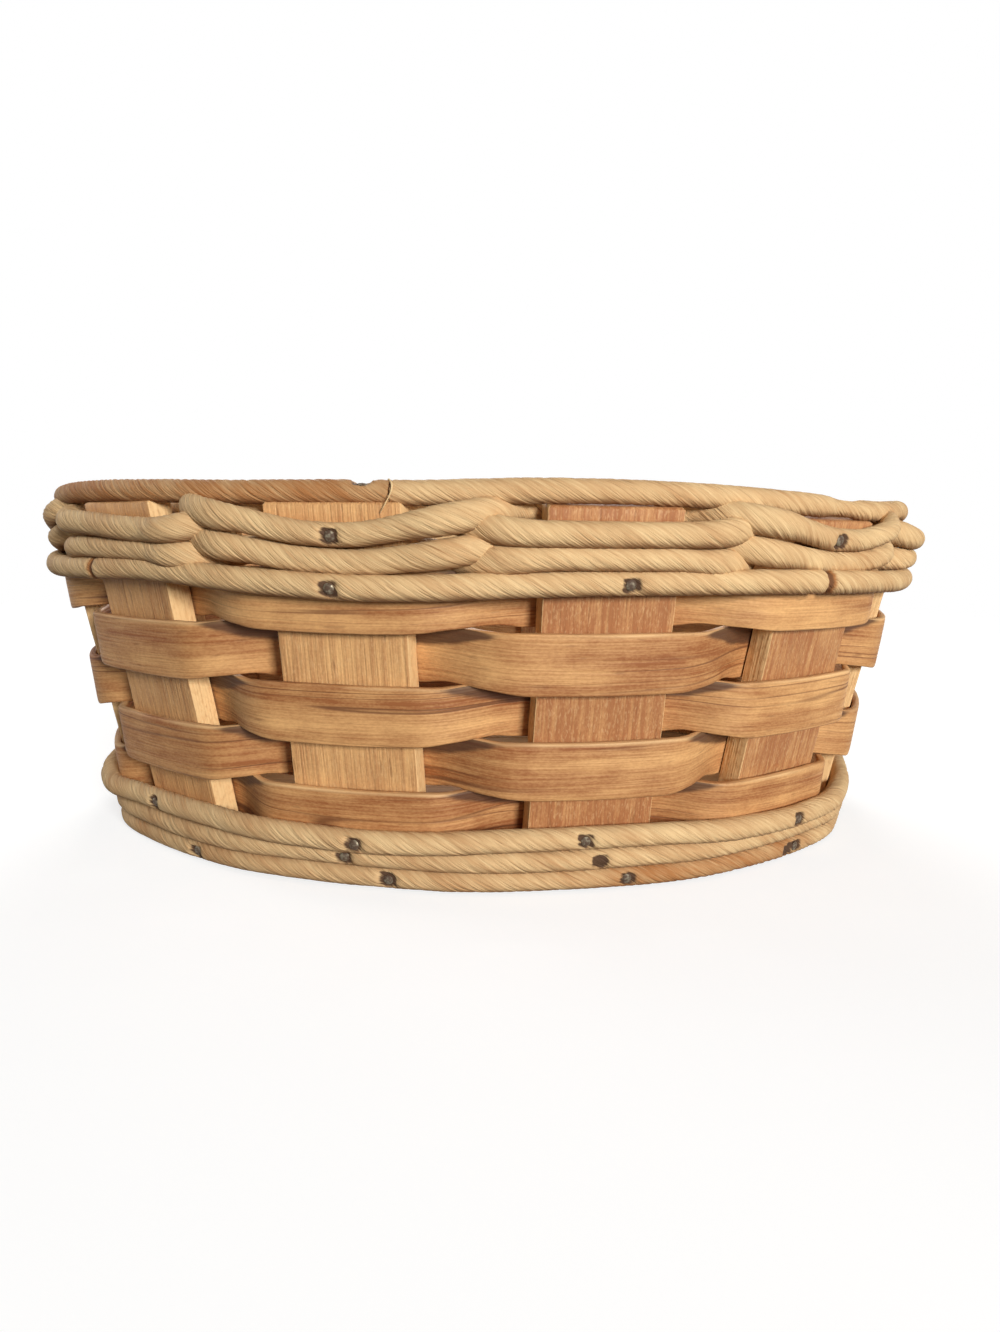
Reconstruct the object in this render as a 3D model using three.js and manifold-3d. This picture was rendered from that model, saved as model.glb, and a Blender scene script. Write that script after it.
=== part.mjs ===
// Oval splint basket: flat upright stakes nailed round a wooden base, woven with wide wood strips and
// bound with twisted rope at the foot and the rim. Millimetres, +Z up, +X along the length, and the
// origin on the ground under the middle of the base. Most places are given on the wall itself: how far
// off the middle of the stakes, how far along the stake's width and how far up the leaning stake.
import * as THREE from 'three';
import { mergeVertices } from 'three/addons/utils/BufferGeometryUtils.js';
import Module from 'manifold-3d';

const wasm = await Module();
wasm.setup();

// Driving dimensions
const FIT_GAP = 0.3;               // left between pieces that touch
const OVAL_HALF_LENGTH = 130;      // to the middle of the stakes at the ground
const OVAL_HALF_WIDTH = 98;
const WALL_LEAN_DEG = 11.75;       // the stakes lean outwards

const STAKE_PAIRS = 6;             // an even number of stakes, so that every row closes in step
const STAKE_WIDTH = 37.5;
const STAKE_THICKNESS = 7.5;
const STAKE_TIP = 3;               // bare stake above the woven ropes
const BASE_THICKNESS = 12;
const BASE_CORNERS = 48;

const WEAVER_ROWS = 5;
const WEAVER_WIDTH = 16.4;         // where two strips pass each other
const WEAVER_SPREAD = 1.2;         // how much wider a strip lies over a stake
const WEAVER_THICKNESS = 2.5;

const FOOT_ROPES = 3;
const FOOT_ROPE_DIAMETER = 6.3;
const RIM_ROPE_DIAMETER = 6.6;     // the band rope, the woven ropes and the rim rope
const WOVEN_COURSES = 2;           // each course is two ropes in opposite step
const ROPE_LIFT = 1.4;             // how far a nailed rope stands off a strip that passes under it
const BUTT_GAP = 0.6;              // between the two ends of one rope

const NAIL_SHANK_DIAMETER = 1.6;
const NAIL_HEAD_DIAMETER = 3.4;
const NAIL_HEAD_HEIGHT = 0.8;
const NAIL_POINT = 2;              // length of the tapered point
const NAIL_SIDES = 6;
const NAIL_COVER = 2;              // wood left between a blind nail and the inside of the stake
const NAIL_SHIFT = 3.5;            // from the middle of a stake to the nails in its hem and band
const FOOT_NAIL_EDGE = 7.75;       // from the edge of a stake to its foot nail
const BASE_BITE = 10;              // how deep a foot nail goes into the base
const RIM_NAIL_BITE = 14;          // how deep a rim nail goes into the end of a stake
const RIM_NAILS = 3;

const STAKE_COLOUR = 0xc99862;
const WEAVER_COLOUR = 0xc48f5b;
const ROPE_COLOUR = 0xdcb98a;
const BASE_COLOUR = 0xbd8f5c;
const NAIL_COLOUR = 0x4a4038;

// Values that follow from them
const stakeCount = 2 * STAKE_PAIRS;
const lean = THREE.MathUtils.degToRad(WALL_LEAN_DEG);
const footRopeRadius = FOOT_ROPE_DIAMETER / 2;
const rimRopeRadius = RIM_ROPE_DIAMETER / 2;
const stakeFace = STAKE_THICKNESS / 2;
const weaverOffset = stakeFace + FIT_GAP + WEAVER_THICKNESS / 2;
const weaverOverWidth = WEAVER_WIDTH + WEAVER_SPREAD;
const nailHoleRadius = NAIL_SHANK_DIAMETER / 2 + FIT_GAP;
const stakeReach = STAKE_WIDTH / 2 + NAIL_SHANK_DIAMETER;  // what lies on a stake is straight this far

// A rope's section is a hexagon: this far below its middle it touches level ground.
const ropeDrop = (radius) => radius * (Math.cos(lean) + Math.sin(lean) / 2);

// Levels up the wall, stacked from the ground
const footRopeOffset = stakeFace + FIT_GAP + footRopeRadius;
const footRopeBottom = FIT_GAP + ropeDrop(footRopeRadius);
const lowestFootRope = (footRopeBottom + footRopeOffset * Math.sin(lean)) / Math.cos(lean);
const footRopeLevel = (index) => lowestFootRope + index * (FOOT_ROPE_DIAMETER + FIT_GAP);
const upperFootIndex = FOOT_ROPES - 1;
const wovenStart = footRopeLevel(upperFootIndex - 1) + footRopeRadius + FIT_GAP;
const weaverPitch = WEAVER_WIDTH + FIT_GAP;
const weaverLevel = (row) => wovenStart + weaverOverWidth / 2 + (WEAVER_ROWS - row) * weaverPitch;
const ropePitch = RIM_ROPE_DIAMETER + FIT_GAP;
const ropeBandStart = weaverLevel(1) + weaverOverWidth / 2 + FIT_GAP;
const courseLevel = (course) => ropeBandStart + rimRopeRadius + course * ropePitch;
const bandLevel = ropeBandStart - 2 * FIT_GAP - rimRopeRadius;
const stakeTop = courseLevel(WOVEN_COURSES - 1) + rimRopeRadius + STAKE_TIP;
const rimLevel = stakeTop + FIT_GAP + rimRopeRadius;

// Where the woven ropes cross, all of them lie flattened one above the other in the height of the band.
const wovenRopes = 2 * WOVEN_COURSES;
const crossingPitch = (stakeTop - ropeBandStart) / wovenRopes;
const crossingHalfHeight = (crossingPitch - FIT_GAP) / 2;
const crossingLevel = (slot) => ropeBandStart + (slot + 0.5) * crossingPitch;

// Wall frames: stake 0 is the first one right of the front middle. They go round anticlockwise from above.
const wrap = (stake) => ((stake % stakeCount) + stakeCount) % stakeCount;
const ovalPoint = (turn) => new THREE.Vector3(
  OVAL_HALF_LENGTH * Math.sin(turn), -OVAL_HALF_WIDTH * Math.cos(turn), 0);
const ovalNormal = (turn) => new THREE.Vector3(
  Math.sin(turn) / OVAL_HALF_LENGTH, -Math.cos(turn) / OVAL_HALF_WIDTH, 0).normalize();

function wallFrame(stake) {
  const turn = ((stake + 0.5) / stakeCount) * 2 * Math.PI;
  const normal = ovalNormal(turn);
  const vertical = new THREE.Vector3(0, 0, 1);
  const off = normal.clone().multiplyScalar(Math.cos(lean)).addScaledVector(vertical, -Math.sin(lean));
  const up = normal.clone().multiplyScalar(Math.sin(lean)).addScaledVector(vertical, Math.cos(lean));
  const along = new THREE.Vector3(-normal.y, normal.x, 0);
  const foot = ovalPoint(turn);
  const matrix = new THREE.Matrix4().makeBasis(off, along, up).setPosition(foot);
  return { off, along, up, foot, matrix };
}
const wall = Array.from({ length: stakeCount }, (_, stake) => wallFrame(stake));
const weaverIsOutside = (row, stake) => (wrap(stake) + row) % 2 === 0;

// Skin a row of rings, each a list of points anticlockwise seen from the start, and close both ends.
function skin(rings) {
  const sides = rings[0].length;
  const index = [];
  for (let ring = 0; ring + 1 < rings.length; ring += 1) {
    for (let side = 0; side < sides; side += 1) {
      const a = ring * sides + side;
      const b = ring * sides + ((side + 1) % sides);
      index.push(a, a + sides, b + sides, a, b + sides, b);
    }
  }
  const last = (rings.length - 1) * sides;
  for (let side = 1; side + 1 < sides; side += 1) {
    index.push(0, side, side + 1, last, last + side + 1, last + side);
  }
  const geometry = new THREE.BufferGeometry().setFromPoints(rings.flat());
  geometry.setIndex(index);
  return geometry;
}

// Lay a strip or rope once round the wall. A station says where its middle is, which way it runs, which
// way the wall rises there and how far it is into a crossing: 0 on a stake, 1 between two stakes.
const GAP_STEPS = 5;               // rings of a strip or woven rope between two stakes
const ROPE_RINGS = 4;              // rings of a nailed rope for each stake
const BEND = 0.4;                  // how long the bends between stakes are, as a share of the gap
const CROSSING_EASE = 0.32;        // the share of a gap in which a strip or rope gets to its crossing form

function onStake(stake, along, level, offset) {
  const frame = wall[wrap(stake)];
  const point = frame.foot.clone().addScaledVector(frame.along, along)
    .addScaledVector(frame.up, level).addScaledVector(frame.off, offset);
  return { point, run: frame.along, up: frame.up, crossing: 0 };
}

function betweenStakes(from, to, rise) {
  const bend = BEND * from.point.distanceTo(to.point);
  const curve = new THREE.CubicBezierCurve3(
    from.point, from.point.clone().addScaledVector(from.run, bend),
    to.point.clone().addScaledVector(to.run, -bend), to.point);
  return Array.from({ length: GAP_STEPS }, (_, step) => {
    const share = (step + 1) / (GAP_STEPS + 1);
    const crossing = THREE.MathUtils.smoothstep(Math.min(share, 1 - share), 0, CROSSING_EASE);
    const up = from.up.clone().lerp(to.up, share).normalize();
    const point = curve.getPoint(share).addScaledVector(up, rise * crossing);
    return { point, run: curve.getTangent(share), up, crossing };
  });
}

function layCourse({ firstStake, start, end, level, offsetAt, rise = 0 }) {
  const stations = [onStake(firstStake, start, level, offsetAt(0))];
  for (let turn = 0; turn < stakeCount; turn += 1) {
    const leave = onStake(firstStake + turn, stakeReach, level, offsetAt(turn));
    const reach = onStake(firstStake + turn + 1, -stakeReach, level, offsetAt(turn + 1));
    stations.push(leave, ...betweenStakes(leave, reach, rise), reach);
  }
  stations.push(onStake(firstStake, end, level, offsetAt(stakeCount)));
  return stations;
}

function sweep(stations, sectionAt) {
  return skin(stations.map(({ point, run, up, crossing }) => {
    const off = run.clone().cross(up).normalize();
    const rise = off.clone().cross(run).normalize();
    return sectionAt(crossing).map(([out, high]) =>
      point.clone().addScaledVector(off, out).addScaledVector(rise, high));
  }));
}

const stripSection = (width) => {
  const [out, high] = [WEAVER_THICKNESS / 2, width / 2];
  return [[out, -high], [out, high], [-out, high], [-out, -high]];
};
const ropeSection = (radius, high) => [
  [radius, 0], [radius / 2, high], [-radius / 2, high],
  [-radius, 0], [-radius / 2, -high], [radius / 2, -high]];

// Cutting holes
function solidOf(geometry) {
  const bare = geometry.clone();
  bare.deleteAttribute('normal');
  bare.deleteAttribute('uv');
  const merged = mergeVertices(bare);
  return new wasm.Manifold(new wasm.Mesh({
    numProp: 3,
    vertProperties: new Float32Array(merged.attributes.position.array),
    triVerts: new Uint32Array(merged.index.array),
  }));
}

function cutAway(geometry, cutters) {
  if (cutters.length === 0) return geometry;
  const solid = cutters.reduce((left, cutter) => left.subtract(solidOf(cutter)), solidOf(geometry));
  const mesh = solid.getMesh();
  const result = new THREE.BufferGeometry();
  result.setAttribute('position', new THREE.BufferAttribute(mesh.vertProperties, 3));
  result.setIndex(new THREE.BufferAttribute(mesh.triVerts, 1));
  return result;
}

// Ropes nailed on: a smooth loop past the edges of the stakes, out over any strip that passes under it.
const stakes = Array.from({ length: stakeCount }, (_, stake) => stake);
const loopShare = (stake, along) => (stake + (along + stakeReach) / (4 * stakeReach)) / stakeCount;

function ropeLoop(level, offsetAt) {
  const edges = stakes.flatMap((stake) => [-stakeReach, stakeReach].map((along) =>
    onStake(stake, along, level, offsetAt(stake)).point));
  return new THREE.CatmullRomCurve3(edges, true);
}

function nailedRope(radius, level, offsetAt) {
  return { radius, loop: ropeLoop(level, offsetAt), higherLoop: ropeLoop(level + radius, offsetAt) };
}
const overRow = (row, radius) => (stake) =>
  stakeFace + FIT_GAP + radius + (weaverIsOutside(row, stake) ? WEAVER_THICKNESS + ROPE_LIFT : 0);
const footRope = (index, offsetAt) => nailedRope(footRopeRadius, footRopeLevel(index), offsetAt);

const lowerFootRope = footRope(0, () => footRopeOffset);
const middleFootRope = footRope(1, () => footRopeOffset);
const upperFootRope = footRope(upperFootIndex, overRow(WEAVER_ROWS, footRopeRadius));
const bandRope = nailedRope(rimRopeRadius, bandLevel, overRow(1, rimRopeRadius));
const rimRope = nailedRope(rimRopeRadius, rimLevel, () => 0);

// Nails. Each one goes through the middle of its rope at a stake: straight into the wall, with its head
// seated on the rope and its point a given way off the wall, or down into the end of the stake.
function ropeMiddle({ loop }, stake, shift) {
  const { foot, off, along, up } = wall[stake];
  const middle = loop.getPoint(loopShare(stake, shift)).sub(foot);
  return { offset: middle.dot(off), along: middle.dot(along), level: middle.dot(up) };
}

function wallNail(stake, rope, shift, point) {
  const { offset, along, level } = ropeMiddle(rope, stake, shift);
  return { stake, along, level, seat: offset + rope.radius + FIT_GAP, point, downStake: false };
}

function rimNail(stake) {
  const { offset, along, level } = ropeMiddle(rimRope, stake, 0);
  const [seat, point] = [level + rimRopeRadius + FIT_GAP, stakeTop - RIM_NAIL_BITE];
  return { stake, offset, along, seat, point, downStake: true };
}
const footNailShift = STAKE_WIDTH / 2 - FOOT_NAIL_EDGE;
const basePoint = -stakeFace - FIT_GAP - BASE_BITE;
const blindPoint = NAIL_COVER - stakeFace;

const footNails = stakes.map((stake) => wallNail(stake, lowerFootRope, footNailShift, basePoint));
const hemNails = stakes.filter((stake) => weaverIsOutside(WEAVER_ROWS, stake))
  .map((stake) => wallNail(stake, upperFootRope, NAIL_SHIFT, blindPoint));
const bandNails = stakes.map((stake) => wallNail(stake, bandRope, NAIL_SHIFT, blindPoint));
const rimNails = Array.from({ length: RIM_NAILS }, (_, nail) =>
  rimNail(wrap(Math.round((nail * stakeCount) / RIM_NAILS) - 1)));

// Turn a nail or its hole from upright to its place on the wall of its stake.
function setOnWall(geometry, nail) {
  if (nail.downStake) return geometry.rotateX(Math.PI / 2).translate(nail.offset, nail.along, nail.seat);
  return geometry.rotateZ(-Math.PI / 2).translate(nail.seat, nail.along, nail.level);
}

function nailGeometry(nail) {
  const [shank, head] = [NAIL_SHANK_DIAMETER / 2, NAIL_HEAD_DIAMETER / 2];
  const length = nail.seat - nail.point;
  const profile = [
    [0, -length], [shank, NAIL_POINT - length], [shank, 0], [head, 0],
    [head, NAIL_HEAD_HEIGHT / 2], [head / 2, NAIL_HEAD_HEIGHT], [0, NAIL_HEAD_HEIGHT]];
  const points = profile.map(([radius, height]) => new THREE.Vector2(radius, height));
  return setOnWall(new THREE.LatheGeometry(points, NAIL_SIDES), nail);
}

function nailHole(nail) {
  const length = nail.seat - nail.point + 2 * FIT_GAP;
  const hole = new THREE.CylinderGeometry(nailHoleRadius, nailHoleRadius, length, NAIL_SIDES);
  return setOnWall(hole.translate(0, FIT_GAP - length / 2, 0), nail);
}
const holesOnWall = (nails) => nails.map(nailHole);
const holesInPlace = (nails) => nails.map((nail) => nailHole(nail).applyMatrix4(wall[nail.stake].matrix));

// Pieces
const wood = (color) => new THREE.MeshStandardMaterial({ color, roughness: 0.7, metalness: 0 });
const stakeWood = wood(STAKE_COLOUR);
const weaverWood = wood(WEAVER_COLOUR);
const baseWood = wood(BASE_COLOUR);
const ropeFibre = new THREE.MeshStandardMaterial({ color: ROPE_COLOUR, roughness: 0.85, metalness: 0 });
const nailSteel = new THREE.MeshStandardMaterial({ color: NAIL_COLOUR, roughness: 0.5, metalness: 0.8 });

const basket = new THREE.Group();

function addPiece(parent, name, geometry, material) {
  const piece = new THREE.Mesh(geometry, material);
  piece.name = name;
  parent.add(piece);
}
const numbered = (name, index) => `${name}_${String(index + 1).padStart(2, '0')}`;

// Base board: an oval board whose edge leans as the stakes do, so that they sit flat against it.
function baseBoard() {
  const inset = (stakeFace + FIT_GAP) / Math.cos(lean);
  const ring = (height) => Array.from({ length: BASE_CORNERS }, (_, corner) => {
    const turn = (-(corner + 0.5) / BASE_CORNERS) * 2 * Math.PI;
    const outline = ovalPoint(turn).addScaledVector(ovalNormal(turn), height * Math.tan(lean) - inset);
    return outline.setZ(height);
  });
  return cutAway(skin([ring(0), ring(BASE_THICKNESS)]), holesInPlace(footNails));
}
addPiece(basket, 'base_board', baseBoard(), baseWood);

// Stakes: flat slats, cut level at the ground and square at the top, each in its own bay with its nails.
function stakeGeometry(stake) {
  const toe = stakeFace * Math.tan(lean);
  const side = new THREE.Shape();
  side.moveTo(-stakeFace, -toe);
  side.lineTo(stakeFace, toe);
  side.lineTo(stakeFace, stakeTop);
  side.lineTo(-stakeFace, stakeTop);
  side.closePath();
  const slat = new THREE.ExtrudeGeometry(side, { depth: STAKE_WIDTH, bevelEnabled: false });
  slat.rotateX(Math.PI / 2).translate(0, STAKE_WIDTH / 2, 0);
  const nails = [...footNails, ...hemNails, ...bandNails, ...rimNails].filter((nail) => nail.stake === stake);
  return cutAway(slat, holesOnWall(nails));
}
const bays = wall.map(({ matrix }) => {
  const bay = new THREE.Group();
  bay.applyMatrix4(matrix);
  basket.add(bay);
  return bay;
});
bays.forEach((bay, stake) => addPiece(bay, numbered('stake', stake), stakeGeometry(stake), stakeWood));

const nailSets = { foot_nail: footNails, hem_nail: hemNails, band_nail: bandNails, rim_nail: rimNails };
Object.entries(nailSets).forEach(([name, nails]) => nails.forEach((nail, index) =>
  addPiece(bays[nail.stake], numbered(name, index), nailGeometry(nail), nailSteel)));

// Weavers: one strip a row, numbered from the top, its two ends lapped inside a stake at the back.
function weaver(row) {
  const firstStake = STAKE_PAIRS + (weaverIsOutside(row, STAKE_PAIRS) ? 1 : 0);
  const offsetAt = (turn) => {
    if (turn === stakeCount) return -weaverOffset - WEAVER_THICKNESS - FIT_GAP;
    return weaverIsOutside(row, firstStake + turn) ? weaverOffset : -weaverOffset;
  };
  const level = weaverLevel(row);
  const stations = layCourse({ firstStake, start: -stakeReach, end: stakeReach, level, offsetAt });
  const nails = { 1: bandNails, [WEAVER_ROWS]: hemNails }[row] ?? [];
  const pinned = nails.filter((nail) => weaverIsOutside(row, nail.stake));
  return cutAway(
    sweep(stations, (crossing) => stripSection(weaverOverWidth - WEAVER_SPREAD * crossing)),
    holesInPlace(pinned));
}
for (let row = 1; row <= WEAVER_ROWS; row += 1) {
  addPiece(basket, `weaver_${row}`, weaver(row), weaverWood);
}

// Nailed ropes: once round, with the two ends of each butted on a stake, clear of its nail.
function ropeGeometry({ radius, loop, higherLoop }, jointStake, joint, nails) {
  const start = loopShare(jointStake, joint + BUTT_GAP / 2);
  const end = loopShare(jointStake + stakeCount, joint - BUTT_GAP / 2);
  const ringCount = ROPE_RINGS * stakeCount;
  const between = Array.from({ length: 2 * ringCount }, (_, ring) => ring / ringCount)
    .filter((share) => share > start && share < end);
  const stations = [start, ...between, end].map((share) => {
    const point = loop.getPoint(share % 1);
    const up = higherLoop.getPoint(share % 1).sub(point).normalize();
    return { point, run: loop.getTangent(share % 1), up };
  });
  return cutAway(sweep(stations, () => ropeSection(radius, radius)), holesInPlace(nails));
}
const backStake = STAKE_PAIRS;
const besideNail = STAKE_WIDTH / 4;
const stakeEdge = STAKE_WIDTH / 2 - BUTT_GAP;
const lowerFootGeometry = ropeGeometry(lowerFootRope, backStake, -besideNail, footNails);
addPiece(basket, 'foot_rope_lower', lowerFootGeometry, ropeFibre);
addPiece(basket, 'foot_rope_middle', ropeGeometry(middleFootRope, backStake, besideNail, []), ropeFibre);
addPiece(basket, 'foot_rope_upper', ropeGeometry(upperFootRope, backStake, besideNail, hemNails), ropeFibre);
addPiece(basket, 'band_rope', ropeGeometry(bandRope, backStake, -besideNail, bandNails), ropeFibre);
addPiece(basket, 'rim_rope', ropeGeometry(rimRope, stakeCount - 1, stakeEdge, rimNails), ropeFibre);

// Woven ropes, numbered from the top: two to a course, over alternate stakes, ends butted inside at the back.
function wovenRope(index) {
  const course = WOVEN_COURSES - 1 - Math.floor(index / 2);
  const isOutside = (stake) => weaverIsOutside(1 + index, stake);
  const firstStake = backStake + (isOutside(backStake) ? 1 : 0);
  const offset = stakeFace + FIT_GAP + rimRopeRadius;
  const level = courseLevel(course);
  const stations = layCourse({
    firstStake, start: BUTT_GAP / 2, end: -BUTT_GAP / 2, level,
    offsetAt: (turn) => (isOutside(firstStake + turn) ? offset : -offset),
    rise: crossingLevel(wovenRopes - 1 - index) - level });
  const highAt = (crossing) => THREE.MathUtils.lerp(rimRopeRadius, crossingHalfHeight, crossing);
  return sweep(stations, (crossing) => ropeSection(rimRopeRadius, highAt(crossing)));
}
for (let index = 0; index < wovenRopes; index += 1) {
  addPiece(basket, `woven_rope_${index + 1}`, wovenRope(index), ropeFibre);
}

export default basket;
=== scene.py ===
# An oval splint basket, finished piece by piece in the order in which it is put together: the base board,
# the stakes, the woven strips, the ropes, and the nails that hold them. Metres, in the frame of the solids.
import math
from collections import namedtuple

import bmesh
import bpy
from mathutils import Matrix, Vector, noise
from mathutils.geometry import interpolate_bezier


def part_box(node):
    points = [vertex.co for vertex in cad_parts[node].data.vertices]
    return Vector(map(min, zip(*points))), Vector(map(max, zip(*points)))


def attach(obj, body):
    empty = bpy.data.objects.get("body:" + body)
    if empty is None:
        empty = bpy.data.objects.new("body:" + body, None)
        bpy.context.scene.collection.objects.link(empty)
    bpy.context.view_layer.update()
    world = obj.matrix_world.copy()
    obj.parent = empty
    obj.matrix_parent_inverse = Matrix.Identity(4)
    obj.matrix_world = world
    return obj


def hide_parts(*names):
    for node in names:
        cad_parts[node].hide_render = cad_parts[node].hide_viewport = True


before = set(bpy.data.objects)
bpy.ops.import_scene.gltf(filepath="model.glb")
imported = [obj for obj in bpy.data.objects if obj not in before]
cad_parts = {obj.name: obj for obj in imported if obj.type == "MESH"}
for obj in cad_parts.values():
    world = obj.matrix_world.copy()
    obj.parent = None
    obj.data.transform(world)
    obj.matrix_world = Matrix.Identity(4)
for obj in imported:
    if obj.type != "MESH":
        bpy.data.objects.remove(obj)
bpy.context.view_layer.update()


# Base board
# The floor of the basket: four softwood planks glued edge to edge and sawn to an oval. Its edge leans as
# the stakes do, because they are nailed to it all round.
MM = 0.001
OVAL_HALF_LENGTH = 130 * MM  # to the middle of the stakes at the ground
OVAL_HALF_WIDTH = 98 * MM
WALL_LEAN = math.radians(11.75)
FIT_GAP = 0.3 * MM
STAKE_THICKNESS = 7.5 * MM
BASE_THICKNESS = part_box("base_board")[1].z
BASE_CORNERS = 120
PLANKS = 4
PLANK_WIDTH = 2 * OVAL_HALF_WIDTH / PLANKS
PLANK_BEVEL = 0.8 * MM
GLUE_LINE = 0.1 * MM  # between two planks
PLANK_GRAIN_SHIFT = 0.37  # each plank is cut from another part of the tree
SAW_TOLERANCE = 1e-7
BEVELLED_ANGLE = math.radians(30)  # edges sharper than this are eased
BASE_SHARP_ANGLE = math.radians(28)


def srgb(red, green, blue):
    """A colour as seen on a screen, 0 to 255, made linear for a shader."""
    def linear(part):
        share = part / 255
        return share / 12.92 if share <= 0.04045 else ((share + 0.055) / 1.055) ** 2.4
    return (linear(red), linear(green), linear(blue), 1.0)


class Nodes:
    """A node tree, with a short way to add each kind of step to it."""

    def __init__(self, tree):
        self.tree = tree

    def add(self, kind, inputs=None, **settings):
        """Add a node, with each input set to a value or linked to an output."""
        node = self.tree.nodes.new(kind)
        for name, value in settings.items():
            setattr(node, name, value)
        for socket, value in (inputs or {}).items():
            if isinstance(value, bpy.types.NodeSocket):
                self.tree.links.new(value, node.inputs[socket])
            else:
                node.inputs[socket].default_value = value
        return node

    def get(self, kind, inputs=None, **settings):
        """The first output of a new node."""
        return self.add(kind, inputs, **settings).outputs[0]

    def math(self, operation, first, second=0.0, third=0.0, clamp=False):
        steps = {0: first, 1: second, 2: third}
        return self.get("ShaderNodeMath", steps, operation=operation, use_clamp=clamp)

    def times(self, first, second, plus=None, clamp=False):
        """A product, and what may be added to it."""
        if plus is None:
            return self.math("MULTIPLY", first, second, clamp=clamp)
        return self.math("MULTIPLY_ADD", first, second, plus, clamp)

    def minus(self, first, second):
        return self.math("SUBTRACT", first, second)

    def vectors(self, operation, first, second):
        return self.get("ShaderNodeVectorMath", {0: first, 1: second}, operation=operation)

    def scaled(self, vector, size):
        return self.get("ShaderNodeVectorMath", {0: vector, "Scale": size}, operation="SCALE")

    def vector(self, x, y, z):
        return self.get("ShaderNodeCombineXYZ", {"X": x, "Y": y, "Z": z})

    def split(self, vector):
        return self.add("ShaderNodeSeparateXYZ", {"Vector": vector}).outputs

    def ease(self, value, low, high, start=0.0, end=1.0):
        """A smooth step: start up to low, end from high on."""
        limits = {"Value": value, "From Min": low, "From Max": high, "To Min": start, "To Max": end}
        return self.get("ShaderNodeMapRange", limits, interpolation_type="SMOOTHSTEP")

    def blend(self, share, first, second):
        """Two colours, mixed by a share."""
        return self.add("ShaderNodeMix", {0: share, 6: first, 7: second}, data_type="RGBA").outputs[2]

    def noise(self, place, scale, detail, bend=0.0):
        marks = {"Vector": place, "Scale": scale, "Detail": detail, "Distortion": bend}
        return self.get("ShaderNodeTexNoise", marks)

    def streaks(self, grain, length, scale, detail, bend=0.0, between=None):
        """Noise drawn out along the grain: marks this many times as long as wide."""
        drawn = self.vectors("MULTIPLY", grain, (1.0, 1.0, 1.0 / length))
        marks = self.noise(drawn, scale, detail, bend)
        return self.ease(marks, *between) if between else marks

    def read(self, name, kind="FLOAT"):
        """What a mesh carries at each point, in a tree that builds."""
        return self.get("GeometryNodeInputNamedAttribute", {"Name": name}, data_type=kind)

    def attribute(self, name, output="Vector"):
        """What a mesh carries at each point, in a material."""
        carried = self.add("ShaderNodeAttribute", attribute_name=name, attribute_type="GEOMETRY")
        return carried.outputs[output]


def make_group(name, kind, inputs, outputs):
    """A node group with its sockets listed by kind: its nodes, and what it is given."""
    tree = bpy.data.node_groups.new(name, kind)
    for way, sockets in (("INPUT", inputs), ("OUTPUT", outputs)):
        for value, names in sockets.items():
            for socket in names:
                tree.interface.new_socket(socket, in_out=way, socket_type="NodeSocket" + value)
    nodes = Nodes(tree)
    return nodes, nodes.add("NodeGroupInput").outputs


# The figure of split wood: fibres, growth lines and pores. Grain is (depth, across, along).
nodes, given = make_group(
    "Wood grain", "ShaderNodeTree",
    {"Vector": ["Grain"], "Color": ["Pale", "Dark", "Line"],
     "Float": ["Tone", "Figure", "Bands", "Lines", "Pores"]},
    {"Color": ["Colour"], "Float": ["Height", "Roughness"]})
grain = given["Grain"]
broad = nodes.streaks(grain, 9, 55, 3, 0.4, (0.32, 0.68))
fibre = nodes.streaks(grain, 34, 1500, 3, between=(0.28, 0.72))
bands = nodes.streaks(grain, 22, given["Bands"], 3, 0.2, (0.36, 0.64))
specks = nodes.streaks(grain, 2, 1900, 2, between=(0.3, 0.7))
mottle = nodes.streaks(grain, 1.6, 150, 4, 0.3, (0.3, 0.7))
tone = nodes.times(broad, given["Figure"], given["Tone"])
tone = nodes.times(bands, nodes.times(given["Figure"], 0.7, 0.12), tone)
tone = nodes.times(mottle, 0.2, tone)
tone = nodes.times(specks, 0.16, tone)
tone = nodes.times(fibre, 0.26, tone, clamp=True)
colour = nodes.blend(tone, given["Pale"], given["Dark"])

growth = nodes.times(nodes.streaks(grain, 30, 75, 2, 0.5), 9.0)
ring_line = nodes.ease(nodes.math("PINGPONG", growth, 0.5), 0.0, 0.085, 1.0, 0.0)
faded = nodes.times(ring_line, nodes.ease(broad, 0.25, 0.9))
lines = nodes.times(faded, given["Lines"], clamp=True)
colour = nodes.blend(lines, colour, given["Line"])

pore = nodes.streaks(grain, 7, 760, 1, between=(0.66, 0.76))
pores = nodes.times(pore, given["Pores"], clamp=True)
colour = nodes.blend(pores, colour, given["Line"])

height = nodes.minus(nodes.times(lines, -0.5, fibre), pores)
roughness = nodes.times(fibre, 0.16, 0.56)
nodes.add("NodeGroupOutput", {"Colour": colour, "Height": height, "Roughness": roughness})
wood_grain = nodes.tree


def start_material(name):
    """A new material with nothing in it yet."""
    material = bpy.data.materials.new(name)
    material.use_nodes = True
    material.node_tree.nodes.clear()
    return material, Nodes(material.node_tree)


def end_material(nodes, colour, roughness, height, bump, bump_depth, specular=0.35, metallic=0.0):
    """A plain surface: its colour, its gloss and relief too fine for its mesh."""
    relief = nodes.get("ShaderNodeBump", {"Height": height, "Strength": bump, "Distance": bump_depth})
    surface = nodes.get("ShaderNodeBsdfPrincipled", {
        "Base Color": colour, "Roughness": roughness, "Normal": relief, "Specular IOR Level": specular,
        "Metallic": metallic})
    nodes.add("ShaderNodeOutputMaterial", {"Surface": surface})


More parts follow.
